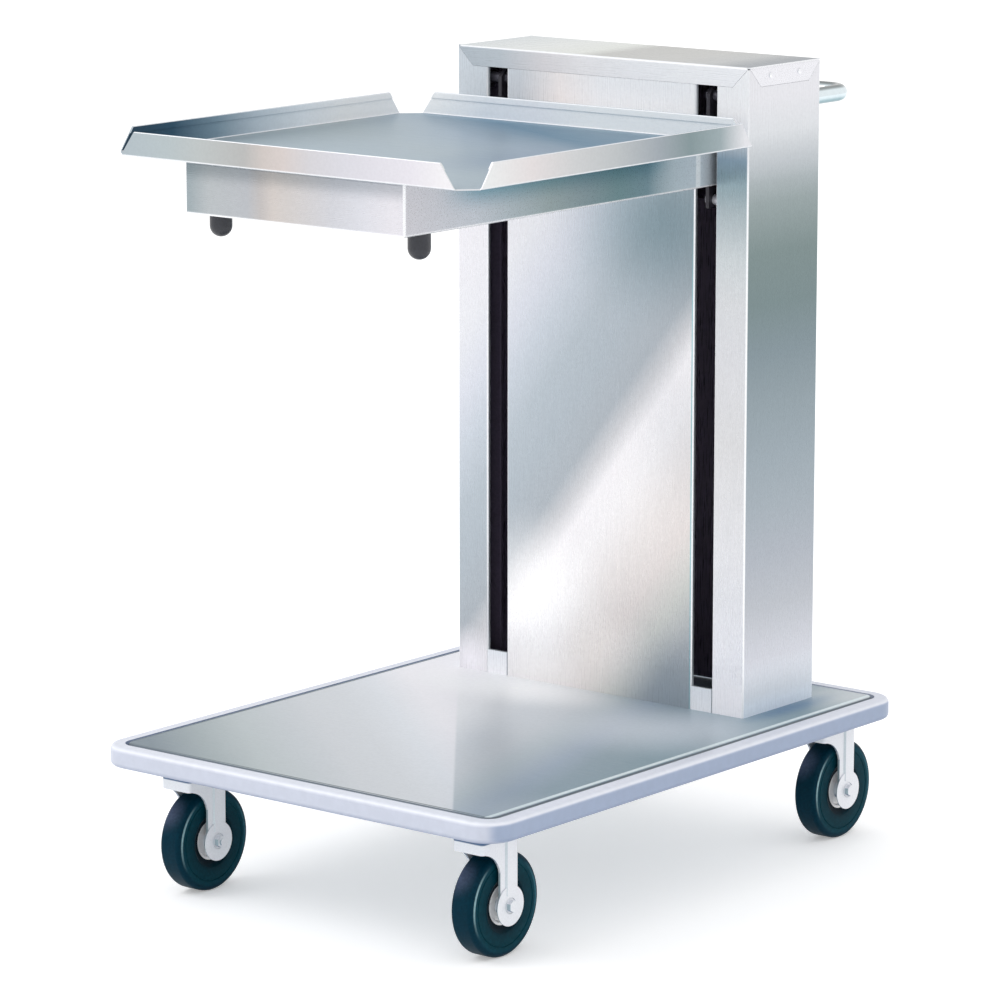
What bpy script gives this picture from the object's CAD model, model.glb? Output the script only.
"""Looks of the tray dispenser cart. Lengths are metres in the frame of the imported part:
the floor is Z 0, the front is -Y, the tower stands at +Y and +X is the cart's right."""
import math
import bpy
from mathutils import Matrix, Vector


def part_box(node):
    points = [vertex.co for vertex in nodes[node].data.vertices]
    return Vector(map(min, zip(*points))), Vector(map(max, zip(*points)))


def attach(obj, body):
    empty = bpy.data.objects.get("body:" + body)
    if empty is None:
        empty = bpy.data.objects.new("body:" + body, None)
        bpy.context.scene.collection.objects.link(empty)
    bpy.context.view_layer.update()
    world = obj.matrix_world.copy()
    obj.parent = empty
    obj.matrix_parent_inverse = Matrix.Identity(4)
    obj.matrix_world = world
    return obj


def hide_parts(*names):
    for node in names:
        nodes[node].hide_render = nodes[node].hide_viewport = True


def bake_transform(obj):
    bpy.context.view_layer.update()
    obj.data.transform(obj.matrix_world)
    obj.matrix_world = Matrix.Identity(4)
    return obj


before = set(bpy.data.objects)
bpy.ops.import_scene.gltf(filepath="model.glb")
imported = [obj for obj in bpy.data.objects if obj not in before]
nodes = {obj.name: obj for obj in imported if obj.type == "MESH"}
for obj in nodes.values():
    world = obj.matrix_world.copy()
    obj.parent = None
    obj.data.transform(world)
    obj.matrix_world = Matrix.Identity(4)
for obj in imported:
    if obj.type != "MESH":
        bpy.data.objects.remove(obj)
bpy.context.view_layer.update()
scene = bpy.context.scene
scene.view_settings.view_transform = "Standard"

RIGHT = (1, 0, 0)
LEFT = (-1, 0, 0)
FRONT = (0, -1, 0)
BACK = (0, 1, 0)
UP = (0, 0, 1)
DOWN = (0, 0, -1)

CORNERS = ("front_left", "front_right", "rear_left", "rear_right")


def corners(kind):
    return [corner + "_" + kind for corner in CORNERS]


def new_object(name, data):
    piece = bpy.data.objects.new(name, data)
    scene.collection.objects.link(piece)
    return piece


def new_mesh(name, vertices, faces, material):
    mesh = bpy.data.meshes.new(name)
    mesh.from_pydata(vertices, [], faces)
    mesh.materials.append(material)
    return new_object(name, mesh)


def next_in_ring(k, sides):
    """The number of the point after point k, where every ring of points has so many sides."""
    return k + 1 if (k + 1) % sides else k + 1 - sides


def aim(piece, position, way):
    """Puts a camera or a lamp at a position and lets it look along a direction."""
    piece.location = position
    piece.rotation_mode = "QUATERNION"
    piece.rotation_quaternion = way.to_track_quat("-Z", "Y")


# Camera

VIEW_AZIMUTH = math.radians(38.84)
VIEW_ELEVATION = math.radians(11.13)
VIEW_DISTANCE = 5.905
VIEW_CENTRE = Vector((-0.0070, -0.0207, 0.4667))
FOCAL_LENGTH = 172.8
SENSOR_WIDTH = 36
CLIP_END = 60


def make_camera():
    to_camera = Vector((math.sin(VIEW_AZIMUTH) * math.cos(VIEW_ELEVATION),
                        -math.cos(VIEW_AZIMUTH) * math.cos(VIEW_ELEVATION),
                        math.sin(VIEW_ELEVATION)))
    data = bpy.data.cameras.new("camera")
    data.sensor_width = SENSOR_WIDTH
    data.lens = FOCAL_LENGTH
    data.clip_end = CLIP_END
    camera = new_object("camera", data)
    aim(camera, VIEW_CENTRE + VIEW_DISTANCE * to_camera, -to_camera)
    scene.camera = camera


make_camera()


# Materials

BUMP_DEPTH = 0.0002


def linear(colour):
    """A colour of 0 to 255 as the eye sees it, turned into the renderer's own scale."""
    steps = [c / 255 for c in colour]
    return tuple(c / 12.92 if c < 0.04045 else ((c + 0.055) / 1.055) ** 2.4 for c in steps) + (1.0,)


def connect(tree, value, socket):
    """Links a socket to another one, or sets a plain value on it."""
    if isinstance(value, bpy.types.NodeSocket):
        tree.links.new(value, socket)
    else:
        socket.default_value = value


def math_node(tree, operation, a, b=0.0):
    node = tree.nodes.new("ShaderNodeMath")
    node.operation = operation
    connect(tree, a, node.inputs[0])
    connect(tree, b, node.inputs[1])
    return node.outputs[0]


class Paint:
    """One procedural material. Points and directions are those of the part's own frame."""

    def __init__(self, name, colour, metallic=0.0, roughness=0.5):
        self.material = bpy.data.materials.new(name)
        self.material.use_nodes = True
        self.tree = self.material.node_tree
        self.surface = self.tree.nodes["Principled BSDF"]
        self.put("Metallic", metallic)
        self.put("Roughness", roughness)
        self.set_colour(linear(colour))
        coordinates = self.tree.nodes.new("ShaderNodeTexCoord")
        self.point = coordinates.outputs["Object"]
        self.normal = coordinates.outputs["Normal"]

    def put(self, name, value):
        """Sets or links one of the surface's inputs."""
        connect(self.tree, value, self.surface.inputs[name])

    def set_colour(self, colour):
        self.colour = colour
        self.put("Base Color", colour)

    def vector(self, operation, a, b):
        node = self.tree.nodes.new("ShaderNodeVectorMath")
        node.operation = operation
        connect(self.tree, a, node.inputs[0])
        connect(self.tree, b, node.inputs[1])
        return node.outputs["Value" if operation in ("DOT_PRODUCT", "DISTANCE") else "Vector"]

    def math(self, operation, a, b=0.0):
        return math_node(self.tree, operation, a, b)

    def times(self, first, *others):
        """The product of all its values."""
        for other in others:
            first = self.math("MULTIPLY", first, other)
        return first

    def fade(self, value, low, high, to_low=0.0, to_high=1.0):
        """Runs smoothly from to_low, where value is low, to to_high, where it is high."""
        node = self.tree.nodes.new("ShaderNodeMapRange")
        node.interpolation_type = "SMOOTHSTEP"
        connect(self.tree, value, node.inputs["Value"])
        limits = {"From Min": low, "From Max": high, "To Min": to_low, "To Max": to_high}
        for name, number in limits.items():
            node.inputs[name].default_value = number
        return node.outputs["Result"]

    def mix(self, share, a, b, kind="MIX"):
        node = self.tree.nodes.new("ShaderNodeMix")
        node.data_type = "RGBA"
        node.blend_type = kind
        connect(self.tree, share, node.inputs["Factor"])
        connect(self.tree, a, node.inputs["A"])
        connect(self.tree, b, node.inputs["B"])
        return node.outputs["Result"]

    def ramp(self, value, stops):
        """A colour for each value. Stops are (value, colour)."""
        first = stops[0][0]
        span = stops[-1][0] - first
        share = self.math("DIVIDE", self.math("SUBTRACT", value, first), span)
        ramp = self.tree.nodes.new("ShaderNodeValToRGB")
        elements = ramp.color_ramp.elements
        elements[0].color = linear(stops[0][1])
        elements[1].color = linear(stops[-1][1])
        for at, colour in stops[1:-1]:
            elements.new((at - first) / span).color = linear(colour)
        connect(self.tree, share, ramp.inputs["Fac"])
        return ramp.outputs["Color"]

    def along(self, direction):
        """The distance from the origin along a direction."""
        return self.vector("DOT_PRODUCT", self.point, direction)

    def within(self, direction, low, high):
        """0 where the distance along a direction is low, 1 where it is high."""
        return self.fade(self.along(direction), low, high)

    def near(self, centre, size):
        """1 at a point, fading to 0 at an egg-shaped distance from it."""
        offset = self.vector("DIVIDE", self.vector("SUBTRACT", self.point, centre), size)
        return self.fade(self.vector("DISTANCE", offset, (0, 0, 0)), 0.0, 1.0, 1.0, 0.0)

    def radius(self, centre, plane):
        """The distance from an axis through a point; plane is 1 along the directions it counts in."""
        offset = self.vector("MULTIPLY", self.vector("SUBTRACT", self.point, centre), plane)
        return self.vector("DISTANCE", offset, (0, 0, 0))

    def facing(self, axis):
        """1 on faces that look along an axis, 0 on the others."""
        return self.fade(self.vector("DOT_PRODUCT", self.normal, axis), 0.55, 0.85)

    def slope(self):
        """1 on faces that look up, 0 on upright ones, -1 on faces that look down."""
        return self.vector("DOT_PRODUCT", self.normal, UP)

    def tilt(self):
        """How much a face looks along each axis, either way."""
        split = self.tree.nodes.new("ShaderNodeSeparateXYZ")
        connect(self.tree, self.vector("ABSOLUTE", self.normal, (0, 0, 0)), split.inputs[0])
        return split.outputs

    def bends(self):
        """1 on faces that lie askew to all three axes, as the bends and broken edges of a sheet do."""
        x, y, z = self.tilt()
        return self.fade(self.math("MAXIMUM", self.math("MAXIMUM", x, y), z), 0.995, 0.85)

    def noise(self, scale, stretch=(1, 1, 1)):
        node = self.tree.nodes.new("ShaderNodeTexNoise")
        node.inputs["Scale"].default_value = scale
        connect(self.tree, self.vector("MULTIPLY", self.point, stretch), node.inputs["Vector"])
        return node.outputs["Fac"]

    def lay(self, share, colour):
        """Lays a colour over a share of what is there."""
        self.set_colour(self.mix(share, self.colour, colour))

    def veil(self, share, colour):
        """Multiplies a share of what is there by a colour."""
        self.set_colour(self.mix(share, self.colour, colour, "MULTIPLY"))

    def speckle(self, scale, amount):
        """Small irregular changes of the colour, in shares of it."""
        change = self.fade(self.noise(scale), 0.3, 0.7, 1 - amount, 1 + amount)
        grey = self.tree.nodes.new("ShaderNodeCombineColor")
        for socket in grey.inputs[:3]:
            connect(self.tree, change, socket)
        self.veil(1.0, grey.outputs[0])

    def bump(self, height, strength):
        node = self.tree.nodes.new("ShaderNodeBump")
        node.inputs["Strength"].default_value = strength
        node.inputs["Distance"].default_value = BUMP_DEPTH
        connect(self.tree, height, node.inputs["Height"])
        self.put("Normal", node.outputs["Normal"])

    def vary_roughness(self, value, low, high, middle, spread):
        """Makes the surface rougher where value is high and smoother where it is low."""
        self.put("Roughness", self.fade(value, low, high, middle - spread, middle + spread))


STEEL = (198, 205, 211)
STEEL_EDGE = (246, 247, 250)
STEEL_SPECULAR = 0.3
MATT_METALLIC = 0.12
GRAIN_LINES = 900
GRAIN_LENGTH = 0.03
GRAIN_ROUGHNESS = 0.05


def steel(name, washes=(), veils=(), grain="z", roughness=0.3, metallic=0.7, edges=Paint.bends,
          edge_colour=STEEL_EDGE, matt=()):
    """Brushed stainless sheet. Washes lay their colours over it and veils multiply it by theirs;
    each is a function of a Paint that gives a share and a colour. Where matt's limits
    (direction, low, high) reach, the sheet reflects little of what stands close to it."""
    paint = Paint(name, STEEL, metallic=metallic, roughness=roughness)
    paint.put("Specular IOR Level", STEEL_SPECULAR)
    if matt:
        dull = 0.0
        for limit in matt:
            dull = paint.math("MAXIMUM", dull, paint.within(*limit))
        paint.put("Metallic", paint.fade(dull, 0, 1, metallic, MATT_METALLIC))
    for give in washes:
        paint.lay(*give(paint))
    for give in veils:
        paint.veil(*give(paint))
    paint.lay(edges(paint), linear(edge_colour))
    stretch = [1.0, 1.0, 1.0]
    stretch["xyz".index(grain)] = GRAIN_LENGTH
    lines = paint.noise(GRAIN_LINES, stretch)
    paint.vary_roughness(lines, 0.25, 0.75, roughness, GRAIN_ROUGHNESS)
    paint.bump(lines, 0.10)
    paint.speckle(260, 0.02)
    return paint.material


def on_faces(paint, axis, limits):
    """1 on faces that look along an axis, where all limits (direction, low, high) reach."""
    return paint.times(paint.facing(axis), *[paint.within(*limit) for limit in limits])


def wash(axis, direction, stops, *limits):
    """Colours that change along a direction, on faces that look along an axis."""
    def give(paint):
        return on_faces(paint, axis, limits), paint.ramp(paint.along(direction), stops)
    return give


def cover(axis, colour, *limits):
    """One colour on faces that look along an axis."""
    def give(paint):
        return on_faces(paint, axis, limits), linear(colour)
    return give


def stripe(axis, direction, at, width, colour, *limits):
    """A thin line across a direction, on faces that look along an axis."""
    def give(paint):
        away = paint.math("ABSOLUTE", paint.math("SUBTRACT", paint.along(direction), at))
        return paint.times(on_faces(paint, axis, limits), paint.fade(away, width, width / 2)), linear(colour)
    return give


def patch(axis, centre, size, colour, strength=1.0):
    """A soft patch of a colour on faces that look along an axis."""
    def give(paint):
        return paint.times(paint.facing(axis), paint.near(centre, size), strength), linear(colour)
    return give


PANEL_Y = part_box("tower_front_panel")[0].y
DECK_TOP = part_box("deck_pan")[1].z
TRAY_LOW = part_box("tray_platform")[0].z
PATCH_DEPTH = 0.05
PATCH_HEIGHT = 0.2


def panel_patch(x, z, width, height, colour, strength=1.0):
    return patch(FRONT, (x, PANEL_Y, z), (width, PATCH_DEPTH, height), colour, strength)


def deck_patch(x, y, width, length, colour, strength=1.0):
    return patch(UP, (x, y, DECK_TOP), (width, length, PATCH_HEIGHT), colour, strength)


def tray_patch(x, y, width, length, colour, strength=1.0):
    return patch(UP, (x, y, TRAY_LOW), (width, length, PATCH_HEIGHT), colour, strength)


def place(material, *names):
    for name in names:
        data = nodes[name].data
        data.materials.clear()
        data.materials.append(material)


# Tower

DIAGONAL = (0.793, 0, -0.61)
PANEL = [(-0.62, (226, 225, 230)), (-0.56, (220, 221, 226)), (-0.51, (206, 209, 218)),
         (-0.468, (190, 197, 206)), (-0.42, (173, 182, 190)), (-0.375, (168, 177, 185)),
         (-0.325, (165, 172, 179)), (-0.30, (195, 196, 200)), (-0.275, (231, 229, 232)),
         (-0.24, (231, 229, 231)), (-0.19, (225, 220, 219)), (-0.145, (221, 214, 212)),
         (-0.10, (207, 208, 204)), (-0.055, (181, 185, 189))]
PANEL_TOP = [(-0.19, (208, 215, 222)), (-0.127, (213, 217, 223)), (-0.063, (254, 246, 244)),
             (0, (253, 252, 254)), (0.124, (253, 253, 255)), (0.184, (255, 254, 255))]
RIGHT_STRIP = [(0.21, (252, 250, 254)), (0.26, (251, 250, 254)), (0.34, (230, 230, 234)),
               (0.43, (216, 216, 219)), (0.53, (207, 207, 209)), (0.65, (206, 207, 211)),
               (0.71, (204, 206, 209)), (0.762, (196, 202, 205)), (0.824, (164, 177, 182)),
               (0.848, (145, 164, 171)), (0.866, (146, 168, 177)), (0.885, (150, 173, 190)),
               (0.92, (240, 241, 245)), (0.957, (255, 254, 255))]
SIDE = [(0.202, (234, 242, 252)), (0.215, (224, 230, 238)), (0.26, (203, 205, 213)),
        (0.325, (181, 185, 192)), (0.39, (168, 174, 183)), (0.455, (157, 167, 175)),
        (0.52, (148, 160, 168)), (0.58, (139, 152, 159)), (0.645, (125, 140, 147)),
        (0.705, (115, 132, 134)), (0.77, (119, 135, 135)), (0.83, (144, 156, 157)),
        (0.856, (163, 172, 175)), (0.88, (192, 198, 203)), (0.918, (224, 227, 231)),
        (0.96, (234, 234, 239))]
BACK_SHEET = [(0.19, (182, 189, 198)), (0.35, (214, 216, 222)), (0.55, (196, 202, 208)),
              (0.75, (174, 183, 190)), (0.90, (205, 210, 215)), (0.99, (226, 228, 232))]
SILL = [(0.19, (246, 246, 250)), (0.22, (232, 236, 242))]
CAP_TOP = [(-0.216, (200, 206, 208)), (-0.12, (214, 217, 215)), (-0.045, (212, 215, 209)),
           (-0.006, (173, 173, 169)), (0.10, (178, 178, 175)), (0.16, (172, 174, 174)),
           (0.205, (130, 136, 142)), (0.222, (124, 131, 139))]
CAP_FRONT = [(-0.22, (180, 189, 197)), (-0.16, (192, 200, 207)), (-0.09, (228, 224, 226)),
             (-0.03, (244, 241, 242)), (0.05, (250, 249, 251)), (0.12, (255, 254, 255)),
             (0.2, (254, 253, 255))]
INSIDE = (150, 140, 160)
SLOT_EDGE = (250, 250, 252)
SLOT_GLINT = (150, 190, 196)
LEFT_SLOT_LINE = (-0.147, 0.0016)
RIGHT_SLOT_LINE = (0.1475, 0.0010)
RIGHT_SLOT_GLINT = (0.1462, 0.0022)
NEAR_CAP = (UP, 0.88, 0.92)
NEAR_CAP_OR_DECK = [(UP, 0.84, 0.90), (DOWN, -0.27, -0.20)]
BELOW_TRAY = (DOWN, -0.85, -0.70)
FAR_LEFT = (LEFT, 0.20, 0.21)
FAR_RIGHT = (RIGHT, 0.20, 0.21)
CAP_LIP = (FRONT, -0.171, -0.169)


def tower_materials():
    panel = wash(FRONT, DIAGONAL, PANEL)
    panel_top = wash(FRONT, RIGHT, PANEL_TOP, NEAR_CAP)
    side = wash(RIGHT, UP, SIDE)
    left_side = wash(LEFT, UP, SIDE)
    back = wash(BACK, UP, BACK_SHEET)
    place(steel("stainless_front_panel",
                [panel, panel_top,
                 panel_patch(-0.10, 0.27, 0.14, 0.16, (255, 254, 255), 0.85),
                 panel_patch(0.01, 0.245, 0.10, 0.07, (240, 234, 230), 0.8),
                 stripe(FRONT, RIGHT, *LEFT_SLOT_LINE, SLOT_EDGE),
                 stripe(FRONT, RIGHT, *RIGHT_SLOT_GLINT, SLOT_GLINT, BELOW_TRAY),
                 stripe(FRONT, RIGHT, *RIGHT_SLOT_LINE, SLOT_EDGE)],
                [panel_patch(0.10, 0.80, 0.20, 0.15, (192, 208, 211)),
                 panel_patch(0.14, 0.54, 0.12, 0.15, (236, 238, 240)),
                 panel_patch(0.12, 0.20, 0.14, 0.11, (206, 216, 224))],
                matt=NEAR_CAP_OR_DECK), "tower_front_panel")
    place(steel("stainless_left_side",
                [panel, panel_top,
                 panel_patch(-0.208, 0.205, 0.05, 0.05, (246, 244, 250)),
                 panel_patch(-0.208, 0.902, 0.05, 0.035, (255, 255, 255)),
                 left_side, back, cover(RIGHT, INSIDE, FAR_LEFT)],
                matt=NEAR_CAP_OR_DECK), "tower_left_side")
    place(steel("stainless_right_side",
                [wash(FRONT, UP, RIGHT_STRIP), side, back, cover(LEFT, INSIDE, FAR_RIGHT)],
                matt=NEAR_CAP_OR_DECK), "tower_right_side")
    place(steel("stainless_sill", [wash(FRONT, UP, SILL)], matt=NEAR_CAP_OR_DECK),
          "left_slot_sill", "right_slot_sill")
    place(steel("stainless_back_cover", [back, cover(FRONT, INSIDE)]), "tower_back_cover")
    place(steel("stainless_screws", [side, left_side, back]), "tower_screws")
    place(steel("stainless_cap",
                [wash(UP, RIGHT, CAP_TOP), wash(FRONT, RIGHT, CAP_FRONT), side, left_side, back],
                grain="x", metallic=0.5, matt=[CAP_LIP]), "tower_cap")


# Deck

DECK_WAY = (1, 1.2, 0)
DECK = [(-0.72, (121, 136, 147)), (-0.62, (158, 170, 174)), (-0.53, (184, 193, 196)),
        (-0.44, (197, 203, 208)), (-0.38, (206, 210, 215)), (-0.30, (212, 216, 221)),
        (-0.22, (224, 228, 234)), (-0.14, (241, 240, 245))]
DECK_RIGHT_WAY = (1, 0.3, 0)
DECK_RIGHT = [(-0.17, (243, 242, 246)), (-0.07, (232, 234, 238)), (0, (210, 215, 221)),
              (0.05, (200, 206, 212)), (0.09, (182, 193, 200)), (0.14, (156, 172, 188)),
              (0.18, (139, 160, 172)), (0.24, (134, 158, 170))]
BEYOND_DIAGONAL = ((0.779, 0.627, 0), -0.0745, -0.0705)
DECK_EDGE = (104, 114, 124)
DECK_LINE = (104, 118, 126)
DECK_RIM = (224, 236, 240)
LINE_INSET = 0.0042
LINE_WIDTH = 0.0018
RIM_INSET = 0.0075
RIM_WIDTH = 0.0045
NEAR_TOWER = (BACK, -0.16, 0.0)


def deck_materials():
    low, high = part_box("deck_pan")
    place(steel("stainless_deck",
                [wash(UP, DECK_WAY, DECK),
                 wash(UP, DECK_RIGHT_WAY, DECK_RIGHT, BEYOND_DIAGONAL),
                 deck_patch(0.18, 0.07, 0.20, 0.17, (212, 220, 230), 0.85),
                 deck_patch(0.29, -0.36, 0.10, 0.12, (176, 188, 200), 0.7),
                 deck_patch(0.27, 0.36, 0.12, 0.12, (206, 212, 216), 0.9),
                 deck_patch(0.24, 0.25, 0.03, 0.12, (96, 130, 162), 0.9),
                 deck_patch(-0.10, 0.12, 0.19, 0.10, (252, 253, 255)),
                 stripe(UP, RIGHT, low.x + LINE_INSET, LINE_WIDTH, DECK_LINE),
                 stripe(UP, BACK, low.y + LINE_INSET, LINE_WIDTH, DECK_LINE),
                 stripe(UP, RIGHT, high.x - RIM_INSET, RIM_WIDTH, DECK_RIM)],
                grain="x", roughness=0.42, metallic=0.5, edge_colour=DECK_EDGE, matt=[NEAR_TOWER]),
          "deck_pan")
    place(steel("stainless_channel"), "front_cross_channel", "middle_cross_channel", "rear_cross_channel")


# Tray and carriage

TRAY_WAY = (0.447, 0.894, 0)
TRAY_FLOOR = [(-0.26, (172, 186, 195)), (-0.15, (170, 183, 191)), (-0.05, (162, 178, 193)),
              (0, (138, 160, 178)), (0.045, (84, 128, 155)), (0.11, (116, 145, 165))]
TRAY_LEFT_IN = [(-0.395, (46, 70, 88)), (-0.315, (54, 88, 110)), (-0.235, (132, 156, 172)),
                (-0.155, (204, 216, 226)), (-0.075, (240, 246, 252)), (0.005, (255, 255, 255)),
                (0.075, (255, 255, 255))]
TRAY_BACK_IN = [(-0.23, (255, 255, 255)), (-0.15, (240, 243, 248)), (-0.07, (248, 248, 252)),
                (0, (255, 255, 255)), (0.22, (255, 255, 255))]
TRAY_FRONT = [(-0.27, (170, 181, 188)), (-0.18, (176, 186, 189)), (-0.13, (182, 187, 187)),
              (-0.06, (178, 178, 177)), (-0.03, (198, 190, 186)), (0, (206, 197, 194)),
              (0.04, (204, 202, 206)), (0.09, (209, 208, 215)), (0.19, (222, 219, 226)),
              (0.24, (232, 230, 233))]
TRAY_RIGHT = [(-0.40, (234, 236, 236)), (-0.315, (226, 220, 220)), (-0.235, (206, 207, 208)),
              (-0.155, (189, 193, 195)), (-0.075, (160, 168, 175)), (-0.015, (132, 149, 152)),
              (0.045, (157, 171, 175)), (0.095, (228, 228, 232))]
TRAY_TINT = (0.5, 0.58, 0.64, 1)
LEFT_HALF = (LEFT, 0.1, 0.2)
RIGHT_HALF = (RIGHT, 0.1, 0.2)
FRONT_HALF = (FRONT, 0.1, 0.2)
BACK_HALF = (BACK, 0.0, 0.1)
LEFT_FLANGE = (LEFT, 0.256, 0.260)
BACK_FLANGE = (BACK, 0.110, 0.114)
SIDE_FLANGE_X = (0.257, 0.259)
ARM_FRONT = [(-0.16, (153, 164, 169)), (-0.13, (176, 181, 184)), (-0.07, (177, 180, 185)),
             (-0.05, (184, 180, 179)), (-0.03, (200, 193, 189)), (0, (199, 195, 194)),
             (0.06, (199, 200, 206)), (0.10, (208, 209, 216)), (0.15, (219, 217, 223))]
ARM_RIGHT = [(-0.395, (197, 197, 203)), (-0.285, (185, 191, 199)), (-0.215, (162, 174, 180)),
             (-0.145, (140, 155, 157)), (-0.075, (119, 138, 144)), (-0.015, (97, 127, 132)),
             (0.045, (100, 128, 138)), (0.10, (180, 195, 203)), (0.145, (202, 213, 221))]
ARM_BACK_EDGE = (236, 242, 245)
ARM_BACK_LINE = (0.147, 0.006)
ARM_BACK = (BACK, 0.04, 0.10)
FRONT_SHADE = (216, 220, 222)
SIDE_SHADE = (130, 190, 205)
UNDER_TRAY_FRONT = (UP, 0.885, 0.905)
UNDER_TRAY_SIDE = [(UP, 0.862, 0.900), (BACK, -0.36, -0.26), (FRONT, -0.10, -0.04)]


def tray_bends(paint):
    """The bends along the tray's flanges, without the slanted ends of the flanges."""
    x, y = paint.tilt()[:2]
    side_flange = paint.fade(paint.math("ABSOLUTE", paint.along(RIGHT)), *SIDE_FLANGE_X)
    along_x = paint.fade(x, 0.3, 0.1)
    along_y = paint.fade(y, 0.3, 0.1)
    turned = paint.times(side_flange, paint.math("SUBTRACT", along_y, along_x))
    return paint.times(paint.bends(), paint.math("ADD", along_x, turned))


def tray_materials():
    tray = steel("stainless_tray",
                 [wash(UP, TRAY_WAY, TRAY_FLOOR),
                  tray_patch(-0.27, -0.10, 0.22, 0.30, (158, 170, 173), 0.8),
                  tray_patch(0.16, -0.17, 0.15, 0.17, (134, 154, 176), 0.8),
                  wash(RIGHT, BACK, TRAY_LEFT_IN, LEFT_HALF),
                  wash(RIGHT, BACK, TRAY_RIGHT, RIGHT_HALF),
                  wash(FRONT, RIGHT, TRAY_BACK_IN, BACK_HALF),
                  wash(FRONT, RIGHT, TRAY_FRONT, FRONT_HALF)],
                 grain="x", roughness=0.34, metallic=0.4, edges=tray_bends,
                 matt=[LEFT_FLANGE, BACK_FLANGE])
    tray.node_tree.nodes["Principled BSDF"].inputs["Specular Tint"].default_value = TRAY_TINT
    place(tray, "tray_platform")
    place(steel("stainless_frame",
                [wash(FRONT, RIGHT, ARM_FRONT),
                 wash(RIGHT, BACK, ARM_RIGHT),
                 wash(LEFT, BACK, ARM_RIGHT),
                 stripe(RIGHT, BACK, *ARM_BACK_LINE, ARM_BACK_EDGE)],
                [cover(FRONT, FRONT_SHADE, UNDER_TRAY_FRONT),
                 cover(RIGHT, SIDE_SHADE, *UNDER_TRAY_SIDE)],
                grain="x", metallic=0.5, matt=[ARM_BACK]), "carriage_frame")


# Casters, bumper, handle and small parts

ZINC_GRAIN = 700
ZINC_ROUGHNESS = 0.07
ZINC_BELOW = (150, 165, 180)
CASTER_BELOW = (110, 134, 160)
CASTER_DARK = (74, 104, 140)
BLACK_GRAIN = 900
BUMPER = [(-1, (150, 162, 192)), (-0.5, (184, 192, 212)), (-0.05, (200, 206, 222)),
          (0.25, (218, 222, 236)), (0.6, (240, 243, 251)), (1, (224, 228, 240))]
TYRE_RINGS = [(0, (0, 22, 34)), (0.45, (0, 22, 34)), (0.60, (0, 48, 60)), (0.80, (0, 56, 68)),
              (0.875, (4, 60, 74)), (0.925, (2, 46, 62)), (1, (0, 44, 60))]
TYRE_SPECULAR = 0.06
CHROME = [(-1, (96, 122, 132)), (-0.6, (134, 164, 172)), (-0.25, (206, 220, 226)),
          (0.1, (226, 236, 240)), (0.60, (226, 236, 240)), (0.82, (140, 148, 150)), (1, (104, 108, 108))]


def bright_zinc(name, colour=(222, 226, 233), roughness=0.32):
    """Bright metal, bluish on faces that look down."""
    paint = Paint(name, colour, metallic=0.75, roughness=roughness)
    paint.lay(paint.fade(paint.slope(), -0.2, -0.9), linear(ZINC_BELOW))
    grains = paint.noise(ZINC_GRAIN)
    paint.vary_roughness(grains, 0.3, 0.7, roughness, ZINC_ROUGHNESS)
    paint.bump(grains, 0.15)
    paint.speckle(500, 0.03)
    return paint.material


def caster_zinc(name, face=(240, 242, 247), front=(172, 192, 200), dark=None):
    """Bright plating with one colour to the front and a blue one on faces that look down. Between the
    two heights of dark it turns dark blue, and above them it stays so."""
    paint = Paint(name, face, metallic=0.25, roughness=0.34)
    paint.lay(paint.facing(FRONT), linear(front))
    paint.lay(paint.fade(paint.slope(), -0.3, -0.8), linear(CASTER_BELOW))
    if dark:
        paint.lay(paint.within(UP, *dark), linear(CASTER_DARK))
    paint.bump(paint.noise(ZINC_GRAIN), 0.12)
    paint.speckle(500, 0.03)
    return paint.material


def black_paint(name, colour, roughness):
    paint = Paint(name, colour, roughness=roughness)
    paint.bump(paint.noise(BLACK_GRAIN), 0.2)
    paint.speckle(BLACK_GRAIN / 2, 0.15)
    return paint.material


def bumper_material():
    """Pale vinyl whose right side is a little darker below."""
    paint = Paint("bumper_vinyl", (196, 202, 228), roughness=0.38)
    slope = paint.slope()
    paint.set_colour(paint.ramp(slope, BUMPER))
    paint.veil(paint.times(paint.facing(RIGHT), paint.fade(slope, 0.5, 0.1)), linear((200, 212, 227)))
    paint.bump(paint.noise(1400), 0.12)
    paint.speckle(90, 0.02)
    return paint.material


def tyre_material(corner):
    """Rubber with a violet sheen on the tread's upper front and pale glints on the shoulder."""
    low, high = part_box(corner + "_tyre")
    centre = (low + high) / 2
    radius = (high.z - low.z) / 2
    paint = Paint(corner + "_rubber", (3, 40, 56), roughness=0.45)
    paint.put("Specular IOR Level", TYRE_SPECULAR)
    out = paint.math("DIVIDE", paint.radius(centre, (0, 1, 1)), radius)
    paint.set_colour(paint.ramp(out, TYRE_RINGS))

    def near(way, size):
        return paint.near(centre + radius * Vector(way), size)

    sheen = near((-0.2, -0.75, 0.62), (0.03, 0.026, 0.034))
    front_glint = near((0.3, -0.86, 0.3), (0.05, 0.035, 0.055))
    back_glint = near((0.3, 0.9, 0.2), (0.05, 0.03, 0.07))
    shoulder = paint.times(paint.fade(out, 0.86, 0.89), paint.fade(out, 0.935, 0.905))
    paint.lay(paint.times(sheen, 0.55), linear((104, 112, 142)))
    paint.lay(paint.times(shoulder, front_glint), linear((150, 186, 192)))
    paint.lay(paint.times(shoulder, back_glint, 0.6), linear((70, 122, 136)))
    paint.bump(paint.noise(900), 0.15)
    paint.speckle(300, 0.12)
    return paint.material


def chrome_material():
    paint = Paint("handle_chrome", (220, 226, 230), metallic=1.0, roughness=0.14)
    paint.set_colour(paint.ramp(paint.slope(), CHROME))
    paint.speckle(120, 0.02)
    paint.bump(paint.noise(500), 0.03)
    return paint.material


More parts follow.
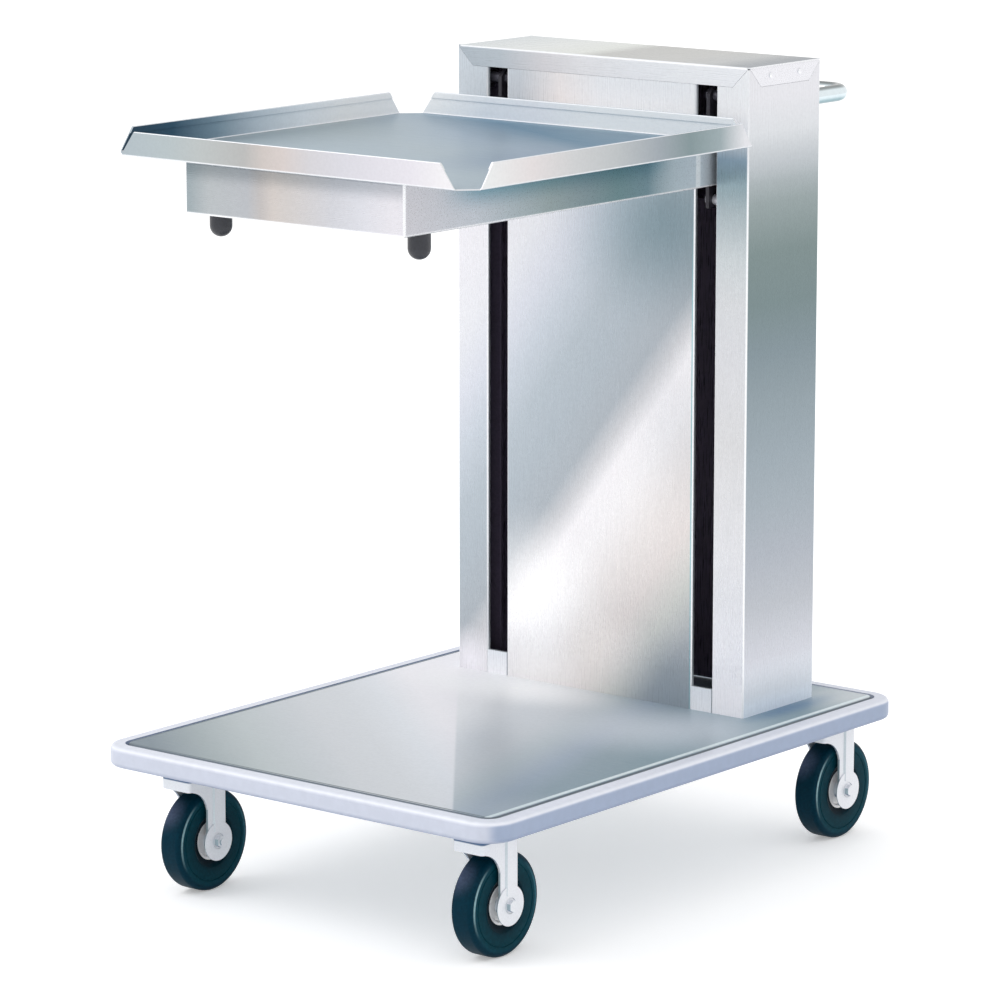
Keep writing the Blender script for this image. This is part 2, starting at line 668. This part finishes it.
def roller_axle_material():
    """Dull dark bolts; the washer that shows under the right arm is bright."""
    paint = Paint("axle_steel", (92, 90, 100), metallic=0.3, roughness=0.45)
    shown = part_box("lower_right_roller")[0]
    paint.lay(paint.near(shown, (0.05, 0.05, 0.05)), linear((240, 240, 246)))
    paint.bump(paint.noise(700), 0.1)
    paint.speckle(400, 0.05)
    return paint.material


def plain_materials():
    place(bright_zinc("zinc"), "rail_bolts", "handle_bolts", "carriage_bolts")
    place(roller_axle_material(), "roller_axles")
    place(caster_zinc("fork_zinc"), *corners("fork"), *corners("axle"))
    place(caster_zinc("hub_zinc", (255, 255, 255), (220, 228, 236)), *corners("hub"))
    place(caster_zinc("plate_zinc", (214, 222, 234)), *corners("plate"), "caster_bolts")
    place(bright_zinc("aluminium_track", (150, 158, 168), 0.4), "bumper_retainer")
    place(black_paint("black_steel", (84, 76, 94), 0.45),
          "left_guide_rail", "right_guide_rail", "spring_anchor_bar", "spring_bar")
    place(black_paint("bracket_steel", (44, 42, 50), 0.5), "left_roller_bracket", "right_roller_bracket")
    place(black_paint("knob_rubber", (42, 44, 52), 0.36), "left_knob", "right_knob", "top_stops")
    place(black_paint("nylon", (44, 41, 50), 0.5),
          "upper_left_roller", "upper_right_roller", "lower_left_roller", "lower_right_roller")
    place(bumper_material(), "bumper_strip")
    for corner in CORNERS:
        place(tyre_material(corner), corner + "_tyre")
    place(chrome_material(), "push_handle")


tower_materials()
deck_materials()
tray_materials()
plain_materials()


# Forks' edges and feet

SKIRT_LOW = 0.133
SKIRT_FOOT = 0.098
SKIRT_THICKNESS = 0.003
SKIRT_R = 0.005
SKIRT_SIDE_STEPS = 8
SKIRT_CORNER_STEPS = 5
SKIRT_BEVEL = 0.0003
SKIRT_COLOUR = (236, 240, 246)
SKIRT_DARK = (0.1445, 0.1460)
PROUD = 0.00015
LAP = 0.001
LEG_WIDTH = 0.035
RIB_THICKNESS = 0.0022
SWIVEL_GAP = 0.002
FOOT_R = 0.0245
FOOT_HOLE_R = 0.0094
FOOT_THICKNESS = 0.0014
FOOT_SIDES = 48
FOOT_BEVEL = 0.0005


def make_trim(name, vertices, faces, material, corner, bevel_width):
    """A piece with softened edges that swivels with a caster."""
    piece = new_mesh(name, vertices, faces, material)
    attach(piece, corner + "_caster")
    bevel = piece.modifiers.new("soft_edges", "BEVEL")
    bevel.width = bevel_width
    bevel.segments = 2
    bevel.limit_method = "ANGLE"


def skirt_half(half, front, leg):
    """The right half of a skirt's outline, from the leg to the front: x, y, outward way and lower edge."""
    stations = []
    for step in range(SKIRT_SIDE_STEPS + 1):
        turn = math.pi / 2 * (1 - step / SKIRT_SIDE_STEPS)
        y = front + (leg - front) * math.sin(turn)
        if y > front + SKIRT_R:
            stations.append((half, y, (1, 0), SKIRT_FOOT + (SKIRT_LOW - SKIRT_FOOT) * math.cos(turn)))
    for step in range(SKIRT_CORNER_STEPS + 1):
        turn = math.pi / 2 * step / SKIRT_CORNER_STEPS
        way = (math.cos(turn), -math.sin(turn))
        x = half - SKIRT_R + SKIRT_R * way[0]
        y = front + SKIRT_R + SKIRT_R * way[1]
        stations.append((x, y, way, SKIRT_LOW))
    return stations


def make_skirt(corner, material):
    """The folded lip under a fork's crown: across the front, round both corners and down into the legs."""
    low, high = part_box(corner + "_fork")
    axle_low, axle_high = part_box(corner + "_axle")
    middle = (low.x + high.x) / 2
    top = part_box(corner + "_plate")[0].z - SWIVEL_GAP
    right = skirt_half((high.x - low.x) / 2 - RIB_THICKNESS + PROUD, low.y - PROUD,
                       (axle_low.y + axle_high.y) / 2 - LEG_WIDTH / 2 + LAP)
    left = [(-x, y, (-way[0], way[1]), bottom) for x, y, way, bottom in reversed(right)]
    vertices = []
    for x, y, way, bottom in right + left:
        for depth in (0, SKIRT_THICKNESS):
            at = (middle + x - depth * way[0], y - depth * way[1])
            vertices += [(*at, bottom), (*at, top)]
    faces = []
    last = len(vertices) - 4
    for a in range(0, last, 4):
        b = a + 4
        faces += [(a, a + 1, b + 1, b), (a + 2, b + 2, b + 3, a + 3),
                  (a + 1, a + 3, b + 3, b + 1), (a, b, b + 2, a + 2)]
    faces += [(0, 2, 3, 1), (last, last + 1, last + 3, last + 2)]
    make_trim(corner + "_skirt", vertices, faces, material, corner, SKIRT_BEVEL)


def make_feet(corner, material):
    """Round plates on the outer sides of a fork's feet."""
    low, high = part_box(corner + "_fork")
    axle_low, axle_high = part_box(corner + "_axle")
    middle = (axle_low + axle_high) / 2
    rings = ((FOOT_HOLE_R, 0), (FOOT_R, 0), (FOOT_R, FOOT_THICKNESS), (FOOT_HOLE_R, FOOT_THICKNESS))
    count = len(rings) * FOOT_SIDES
    for side, edge, label in ((-1, low.x, "left"), (1, high.x, "right")):
        face = edge - side * RIB_THICKNESS
        vertices = []
        for r, out in rings:
            for k in range(FOOT_SIDES):
                turn = 2 * math.pi * k / FOOT_SIDES
                y = middle.y + r * math.cos(turn)
                z = middle.z + r * math.sin(turn)
                vertices.append((face + side * out, y, z))
        faces = []
        for a in range(count):
            b = next_in_ring(a, FOOT_SIDES)
            quad = (a, b, (b + FOOT_SIDES) % count, (a + FOOT_SIDES) % count)
            faces.append(quad if side > 0 else tuple(reversed(quad)))
        make_trim(corner + "_" + label + "_foot", vertices, faces, material, corner, FOOT_BEVEL)


def make_fork_trim():
    skirt = caster_zinc("skirt_zinc", front=SKIRT_COLOUR, dark=SKIRT_DARK)
    foot = caster_zinc("foot_zinc")
    for corner in CORNERS:
        make_skirt(corner, skirt)
        make_feet(corner, foot)


make_fork_trim()


# Springs

SPRINGS = 4
WIRE_SIDES = 8
WIRE_R = 0.0015
TURN_R = 0.004
TURN_ANGLES = (30, 45, 60, 75)
COIL_TURNS = 20
COIL_STEPS = 24
COIL_LEAD = math.radians(20)
HOOK_STEPS = 16
HOOK_OPEN = 15


def spring_path(low, high):
    """The centreline of a hooked spring that fills a box: low hook, coil and high hook."""
    middle = (low + high) / 2
    coil_r = (high.x - low.x) / 2 - WIRE_R
    coil_low = low.z + WIRE_R + coil_r + TURN_R
    coil_high = high.z - WIRE_R - coil_r - TURN_R
    points = []

    def hook(start, stop, z):
        for step in range(HOOK_STEPS + 1):
            turn = math.radians(start + (stop - start) * step / HOOK_STEPS)
            points.append((0, coil_r * math.cos(turn), z + coil_r * math.sin(turn)))

    def elbow(turns, z, way):
        r = way * TURN_R
        for turn in map(math.radians, turns):
            points.append((r * (1 - math.sin(turn)), -coil_r, z - r * (1 - math.cos(turn))))

    hook(-HOOK_OPEN, -180, coil_low - TURN_R)
    elbow(reversed(TURN_ANGLES), coil_low, 1)
    whole = 2 * math.pi * COIL_TURNS
    count = COIL_TURNS * COIL_STEPS
    for step in range(count + 1):
        turn = COIL_LEAD + (whole - 2 * COIL_LEAD) * step / count
        points.append((coil_r * math.sin(turn), -coil_r * math.cos(turn),
                       coil_low + (coil_high - coil_low) * turn / whole))
    elbow(TURN_ANGLES, coil_high, -1)
    hook(180, HOOK_OPEN, coil_high + TURN_R)
    return [Vector((middle.x, middle.y, 0)) + Vector(p) for p in points], coil_low, coil_high


def wire(name, path, material):
    """A round wire along a path, closed at both ends."""
    vertices = []
    side = Vector((1, 0, 0))
    last = len(path) - 1
    for step, point in enumerate(path):
        way = (path[min(step + 1, last)] - path[max(step - 1, 0)]).normalized()
        side = (side - side.dot(way) * way).normalized()
        other = way.cross(side)
        for k in range(WIRE_SIDES):
            turn = 2 * math.pi * k / WIRE_SIDES
            vertices.append(point + WIRE_R * (math.cos(turn) * side + math.sin(turn) * other))
    faces = []
    for a in range(WIRE_SIDES * last):
        b = next_in_ring(a, WIRE_SIDES)
        faces.append((a, b, b + WIRE_SIDES, a + WIRE_SIDES))
    faces.append(tuple(reversed(range(WIRE_SIDES))))
    faces.append(tuple(range(WIRE_SIDES * last, WIRE_SIDES * (last + 1))))
    piece = new_mesh(name, vertices, faces, material)
    piece.data.shade_smooth()
    return piece


def make_springs():
    """Smooth springs that stretch between the tower's bar and the carriage's bar."""
    finish = bright_zinc("spring_wire", (150, 152, 158), 0.3)
    for number in range(1, SPRINGS + 1):
        node = "spring_%d" % number
        low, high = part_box(node)
        path, coil_low, coil_high = spring_path(low, high)
        piece = wire("coil_%d" % number, path, finish)
        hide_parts(node)
        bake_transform(piece)


make_springs()


# Stage

WHITE = (1, 1, 1, 1)
FLOOR_REACH = 14
FLOOR_LIFT = 0.30
WORLD_LIGHT = 0.92
WORLD_SHINE = 1.0
KEY_POSITION = Vector((-2.4, -3.2, 4.2))
KEY_CENTRE = Vector((0, 0, 0.5))
KEY_SIZE = 2.6
KEY_POWER = 55


def seen_share(tree, *rays):
    """1 for rays that come from the camera or a mirror or are of a named kind, 0 for the others."""
    paths = tree.nodes.new("ShaderNodeLightPath")
    seen = math_node(tree, "MAXIMUM", paths.outputs["Is Camera Ray"], paths.outputs["Is Glossy Ray"])
    for ray in rays:
        seen = math_node(tree, "MAXIMUM", seen, paths.outputs[ray])
    return seen


def make_floor():
    """A matt white floor that is lifted a little where it is seen, so that its shadow stays soft."""
    paint = Paint("floor", (255, 255, 255), roughness=0.95)
    paint.put("Specular IOR Level", 0.0)
    paint.put("Emission Color", WHITE)
    paint.put("Emission Strength", paint.times(seen_share(paint.tree), FLOOR_LIFT))
    ends = ((-1, -1), (1, -1), (1, 1), (-1, 1))
    floor = new_mesh("floor", [(x * FLOOR_REACH, y * FLOOR_REACH, 0) for x, y in ends], [(0, 1, 2, 3)],
                     paint.material)


def make_world():
    """An even white studio, a little weaker as a light than it looks."""
    world = bpy.data.worlds.new("studio")
    world.use_nodes = True
    scene.world = world
    tree = world.node_tree
    background = tree.nodes["Background"]
    extra = math_node(tree, "MULTIPLY", seen_share(tree, "Is Transmission Ray"), WORLD_SHINE - WORLD_LIGHT)
    connect(tree, math_node(tree, "ADD", WORLD_LIGHT, extra), background.inputs["Strength"])
    connect(tree, WHITE, background.inputs["Color"])


def make_key_light():
    data = bpy.data.lights.new("key", "AREA")
    data.shape = "DISK"
    data.size = KEY_SIZE
    data.energy = KEY_POWER
    aim(new_object("key", data), KEY_POSITION, KEY_CENTRE - KEY_POSITION)


make_floor()
make_world()
make_key_light()
